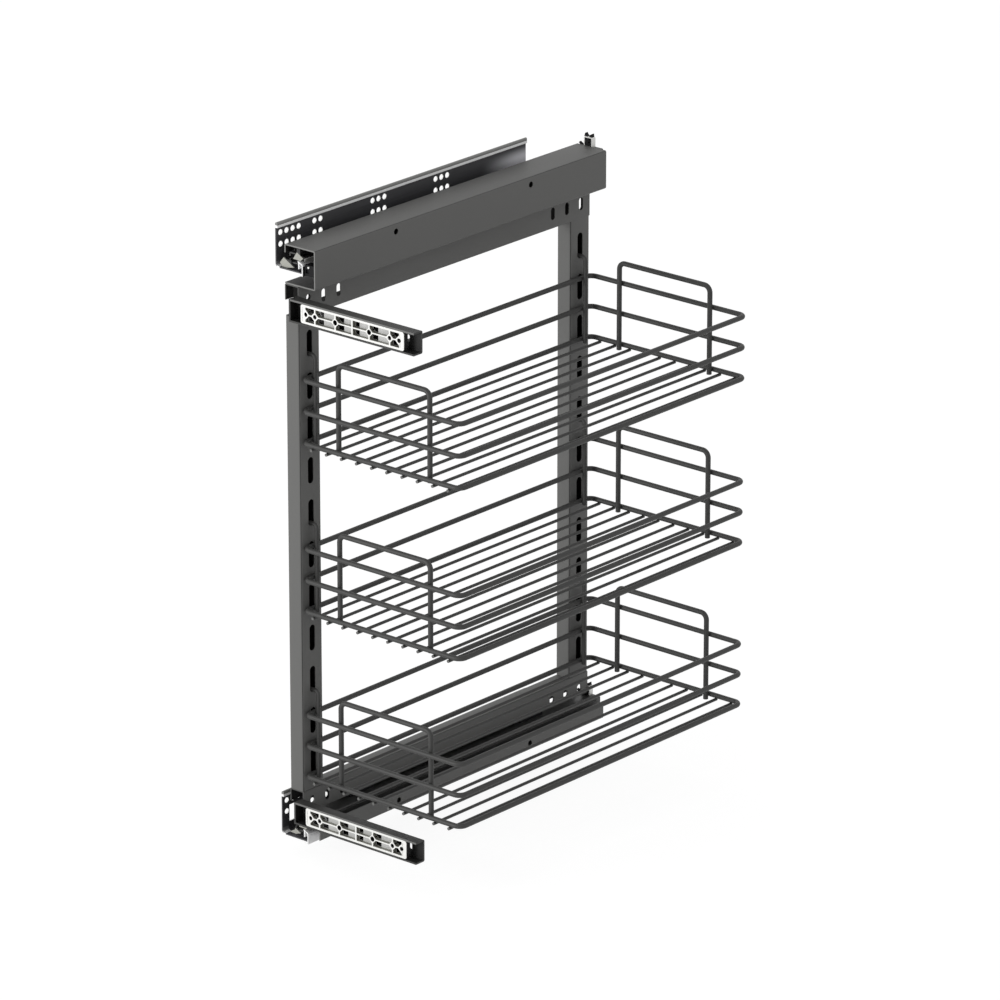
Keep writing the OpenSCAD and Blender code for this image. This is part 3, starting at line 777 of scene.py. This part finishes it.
painted = add(
    wire_tree, "GeometryNodeSetMaterial",
    {"Geometry": whole.outputs[0], "Material": given.outputs["Finish"]},
)
normal = add(wire_tree, "GeometryNodeInputNormal")
facing = add(wire_tree, "ShaderNodeSeparateXYZ", {"Vector": normal.outputs[0]})
is_end = add(
    wire_tree, "FunctionNodeCompare",
    {"A": facing.outputs["Y"], "B": STRAIGHT_AT_FRONT},
    operation="LESS_THAN",
)
cut = add(
    wire_tree, "GeometryNodeSetMaterial",
    {
        "Geometry": painted.outputs[0],
        "Selection": is_end.outputs[0],
        "Material": given.outputs["Finish of the ends"],
    },
)
add(wire_tree, "NodeGroupOutput", {"Geometry": cut.outputs[0]})
print("bent wire tree, nodes:", len(wire_tree.nodes))

# %% [markdown]
# The tree works on a mesh of points and edges. Each point carries its bend radius in an
# attribute, so that one mesh can hold all the wires of one kind, open or closed.

# %% A piece of bent wire
CREASE = math.radians(50)


def wire_mesh(name, paths):
    """Points and edges for paths of (point, bend radius), each open or closed."""
    mesh = bpy.data.meshes.new(name)
    points, bends, edges = [], [], []
    for path_points, closed in paths:
        first = len(points)
        points += [p for p, _ in path_points]
        bends += [b for _, b in path_points]
        last = len(points) - 1
        edges += [(i, i + 1) for i in range(first, last)]
        if closed:
            edges.append((last, first))
    mesh.from_pydata(points, edges, [])
    mesh.attributes.new("bend", "FLOAT", "POINT").data.foreach_set("value", bends)
    return mesh


def wire_piece(name, paths, diameter, nodes, body, ends=wire_coat):
    """Bends wires along paths. The piece stands for its nodes and moves with their body."""
    piece = new_object(name, wire_mesh(name, paths))
    bending = piece.modifiers.new("Bent wire", "NODES")
    bending.node_group = wire_tree
    bending[WIRE_D] = diameter
    bending[WIRE_FINISH] = wire_coat
    bending[END_FINISH] = ends
    plain_mesh(piece)
    piece.data.shade_smooth()
    piece.data.set_sharp_from_angle(angle=CREASE)
    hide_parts(*nodes)
    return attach(piece, body)


# %% [markdown]
# The wires' own places come from the CAD nodes' boxes: a rail's box is the rail's outside,
# so the middle of its wire lies half a diameter inside it. A rail is a closed ring. A hoop
# stands on the floor rail with two bends on top, and a hook reaches over into a slot.

# %% Paths of wire
RAIL_D = 6.0 * MM
FLOOR_D = 3.6 * MM
HOOK_D = 5.0 * MM
RAIL_BEND = 9.0 * MM
HOOP_BEND = 8.0 * MM
HOOK_BEND = 5.0 * MM
HOOK_LIP_BEND = 3.0 * MM
HOOK_LIP = 9.0 * MM
FLOOR_PITCH = 22.4 * MM


def middle_line(node, wire):
    """Lowest and highest corner of a wire's middle line."""
    low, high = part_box(node)
    inset = Vector((wire, wire, wire)) / 2
    return low + inset, high - inset


def rail_path(node):
    a, b = middle_line(node, RAIL_D)
    corners = [(a.x, a.y), (b.x, a.y), (b.x, b.y), (a.x, b.y)]
    return [(Vector((x, y, a.z)), RAIL_BEND) for x, y in corners], True


def upright_path(node, wire, front, corners):
    """An open path in an upright plane, at the front or the back of a node's box."""
    a, b = middle_line(node, wire)
    y = a.y if front else b.y
    return [(Vector((x, y, z)), bend) for x, z, bend in corners], False


def hoop_path(node, front):
    a, b = middle_line(node, RAIL_D)
    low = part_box(node)[0].z
    corners = [(a.x, low, 0), (a.x, b.z, HOOP_BEND), (b.x, b.z, HOOP_BEND), (b.x, low, 0)]
    return upright_path(node, RAIL_D, front, corners)


def hook_path(node, front):
    a, b = middle_line(node, HOOK_D)
    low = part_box(node)[0].z
    lip = b.z - HOOK_LIP
    corners = [(b.x, low, 0), (b.x, b.z, HOOK_BEND), (a.x, b.z, HOOK_LIP_BEND), (a.x, lip, 0)]
    return upright_path(node, HOOK_D, front, corners)


def floor_places(node):
    """Where the floor wires lie on X."""
    low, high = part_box(node)
    count = round((high.x - low.x - FLOOR_D) / FLOOR_PITCH) + 1
    return [low.x + FLOOR_D / 2 + i * FLOOR_PITCH for i in range(count)]


def floor_paths(node):
    low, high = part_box(node)
    z = (low.z + high.z) / 2
    lines = [(Vector((x, low.y, z)), Vector((x, high.y, z))) for x in floor_places(node)]
    return [([(start, 0), (end, 0)], False) for start, end in lines]


# %% [markdown]
# A basket is made as four pieces: rails, hoops, hooks and floor wires. It could be a single
# mesh, but wires of one diameter pass through one modifier, so they belong together. Every
# piece stands for the CAD nodes that it replaces and moves with its basket.

# %% The baskets
BASKETS = ("top_basket", "middle_basket", "bottom_basket")
LEVELS = ("upper_rail", "middle_rail", "floor_rail")
for basket in BASKETS:
    rails = [f"{basket}_{level}" for level in LEVELS]
    hoops = f"{basket}_hoops"
    hooks = f"{basket}_hooks"
    floor = f"{basket}_floor_wires"
    wire_piece(f"{basket}_rails", [rail_path(r) for r in rails], RAIL_D, rails, basket)
    wire_piece(f"{hoops}_wire", [hoop_path(hoops, s) for s in (True, False)], RAIL_D, [hoops], basket)
    wire_piece(f"{hooks}_wire", [hook_path(hooks, s) for s in (True, False)], HOOK_D, [hooks], basket)
    wire_piece(f"{floor}_round", floor_paths(floor), FLOOR_D, [floor], basket, cut_wire)
print("wires in a floor:", len(floor_places("top_basket_floor_wires")))

# %% [markdown]
# ## Weld beads
#
# Crossing wires are resistance welded. Under the powder coat each weld shows as a small
# swelling where the wires meet. The beads could be modelled one by one, but their places
# follow from the wires, so a Geometry Nodes tree sets a slightly uneven bead on each place.
# Its seed is fixed, so that every run gives the same beads.

# %% The weld bead tree
LEAST_BEAD = (0.85, 0.85, 0.85)
MOST_BEAD = (1.25, 1.25, 1.25)

bead_tree = geometry_tree("Weld beads")
interface(bead_tree, "Bead radius", "NodeSocketFloat", 1.7 * MM)
interface(bead_tree, "Seed", "NodeSocketInt", 7)
BEAD_FINISH = interface(bead_tree, "Finish", "NodeSocketMaterial")

given = add(bead_tree, "NodeGroupInput")
ball = add(
    bead_tree, "GeometryNodeMeshIcoSphere",
    {"Radius": given.outputs["Bead radius"], "Subdivisions": 2},
)
uneven = add(
    bead_tree, "FunctionNodeRandomValue",
    {"Min": LEAST_BEAD, "Max": MOST_BEAD, "Seed": given.outputs["Seed"]},
    data_type="FLOAT_VECTOR",
)
set_on = add(
    bead_tree, "GeometryNodeInstanceOnPoints",
    {"Points": given.outputs["Geometry"], "Instance": ball.outputs[0], "Scale": uneven.outputs[0]},
)
whole = add(bead_tree, "GeometryNodeRealizeInstances", {"Geometry": set_on.outputs[0]})
painted = add(
    bead_tree, "GeometryNodeSetMaterial",
    {"Geometry": whole.outputs[0], "Material": given.outputs["Finish"]},
)
add(bead_tree, "NodeGroupOutput", {"Geometry": painted.outputs[0]})
print("weld bead tree, nodes:", len(bead_tree.nodes))


# %% Welds
def weld_places(basket):
    """The points where a basket's wires touch."""
    places = []
    hoop_a, hoop_b = middle_line(f"{basket}_hoops", RAIL_D)
    hook_a, hook_b = middle_line(f"{basket}_hooks", HOOK_D)
    for level in LEVELS:
        a, b = middle_line(f"{basket}_{level}", RAIL_D)
        for x in (hoop_a.x, hoop_b.x):
            places += [Vector((x, (a.y + hoop_a.y) / 2, a.z)), Vector((x, (b.y + hoop_b.y) / 2, a.z))]
        for y in (hook_a.y, hook_b.y):
            places.append(Vector(((a.x + hook_b.x) / 2, y, a.z)))
    floor_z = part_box(f"{basket}_floor_wires")[1].z
    for x in floor_places(f"{basket}_floor_wires"):
        places += [Vector((x, a.y, floor_z)), Vector((x, b.y, floor_z))]
    return places


for basket in BASKETS:
    mesh = bpy.data.meshes.new(f"{basket}_welds")
    mesh.from_pydata(weld_places(basket), [], [])
    welds = new_object(f"{basket}_welds", mesh)
    beads = welds.modifiers.new("Weld beads", "NODES")
    beads.node_group = bead_tree
    beads[BEAD_FINISH] = wire_coat
    plain_mesh(welds)
    welds.data.shade_smooth()
    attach(welds, basket)
print("weld beads in a basket:", len(weld_places("top_basket")))

# %% [markdown]
# ## Finishes of the small parts
#
# The profiles and pieces inside the runners, the saddles, the screws and the door plates keep
# their CAD shapes and only take their finish. Copies of them could be bevelled as well, but
# they are small or hidden, and the CAD mesh has their form. The two runners are of one make,
# so one list serves both, and what differs is added after it.

# %% Small parts
RUNNER_PARTS = {
    "middle_profile": drawn_steel,
    "drawer_profile": drawn_steel,
    "rear_bracket": zinc,
    "inner_cage": plastic,
    "outer_cage": plastic,
    "rear_hook": plastic,
    "inner_rollers": steel,
    "outer_rollers": steel,
}
finishes = {f"{runner}_{part}": f for runner in ("upper", "lower") for part, f in RUNNER_PARTS.items()}
finishes |= tabs
finishes |= {
    "upper_middle_profile": upper_track,
    "upper_door_plate": upper_casting,
    "lower_door_plate": lower_casting,
    "upper_damper_housing": plastic,
    "upper_damper": steel,
    "upper_damper_pin": zinc,
    "rail_saddles": plastic,
    "bracket_screws": steel,
}
for node, finish in finishes.items():
    for slot in frame["nodes"][node].material_slots:
        slot.material = finish
print("small parts with a finish:", len(finishes))

# %% [markdown]
# ## Studio
#
# A pale floor under the unit and a white surround give the plain background. A white floor
# under strong lamps would do it too, but it would wash out the object. So each ray is asked
# what it is for: what the camera sees directly, or mirrored in metal, is close to white, and
# what lights the object is weaker.


# %% Floor and surround
def is_seen(finish):
    """1 for what the camera sees directly, mirrored or through glass."""
    camera_ray, glossy_ray, clear_ray = (
        finish.node("ShaderNodeLightPath", out=f"Is {ray} Ray")
        for ray in ("Camera", "Glossy", "Transmission")
    )
    return camera_ray | glossy_ray | clear_ray


FLOOR_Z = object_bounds()[0].z - 20 * MM
FLOOR_HALF = 14.0
FLOOR_GLOW = 1.12
GLOW_SHARE = 0.8
FILL = 0.62

paper = new_finish("floor_paper")
pulp = paper.blend(paper.noise(3, 2), (0.90, 0.90, 0.90), (0.92, 0.92, 0.92))
matt = paper.node("ShaderNodeBsdfDiffuse", None, {"Color": pulp})
glow = paper.node("ShaderNodeEmission", None, {"Color": (1, 1, 1, 1), "Strength": FLOOR_GLOW})
paper.end(paper.node("ShaderNodeMixShader", None, {0: is_seen(paper) * GLOW_SHARE, 1: matt, 2: glow}))

mesh = bpy.data.meshes.new("floor")
around = ((-1, -1), (1, -1), (1, 1), (-1, 1))
mesh.from_pydata([(x * FLOOR_HALF, y * FLOOR_HALF, FLOOR_Z) for x, y in around], [], [(0, 1, 2, 3)])
mesh.materials.append(paper.owner)
new_object("floor", mesh)

bpy.context.scene.world = bpy.data.worlds.new("surround")
sky = Finish(bpy.context.scene.world)
strength = is_seen(sky) * (1 - FILL) + FILL
background = sky.node("ShaderNodeBackground", None, {"Color": (1, 1, 1, 1), "Strength": strength})
sky.end(background, "ShaderNodeOutputWorld")
print("floor at", round(FLOOR_Z / MM, 1), "mm, fill", FILL)

# %% [markdown]
# One large soft lamp stands in front and to the left, so the fronts of the posts are the
# lightest. The surround fills the rest. Small hard lamps would draw bright spots along the
# wires, which the real product's satin coat doesn't show.

# %% Lamp
LAMP_PLACE = Vector((-1.7, -3.7, 1.3))
LAMP_SIZE = 1.6
LAMP_POWER = 95

lamp_data = bpy.data.lights.new("front_lamp", "AREA")
lamp_data.shape = "SQUARE"
lamp_data.size = LAMP_SIZE
lamp_data.energy = LAMP_POWER
lamp = new_object("front_lamp", lamp_data)
lamp.location = LAMP_PLACE
look_along(lamp, LAMP_PLACE - VIEW_MIDDLE)

# %% [markdown]
# ## View
#
# The standard view transform shows colours as they are written.

# %% View
bpy.context.scene.view_settings.view_transform = "Standard"
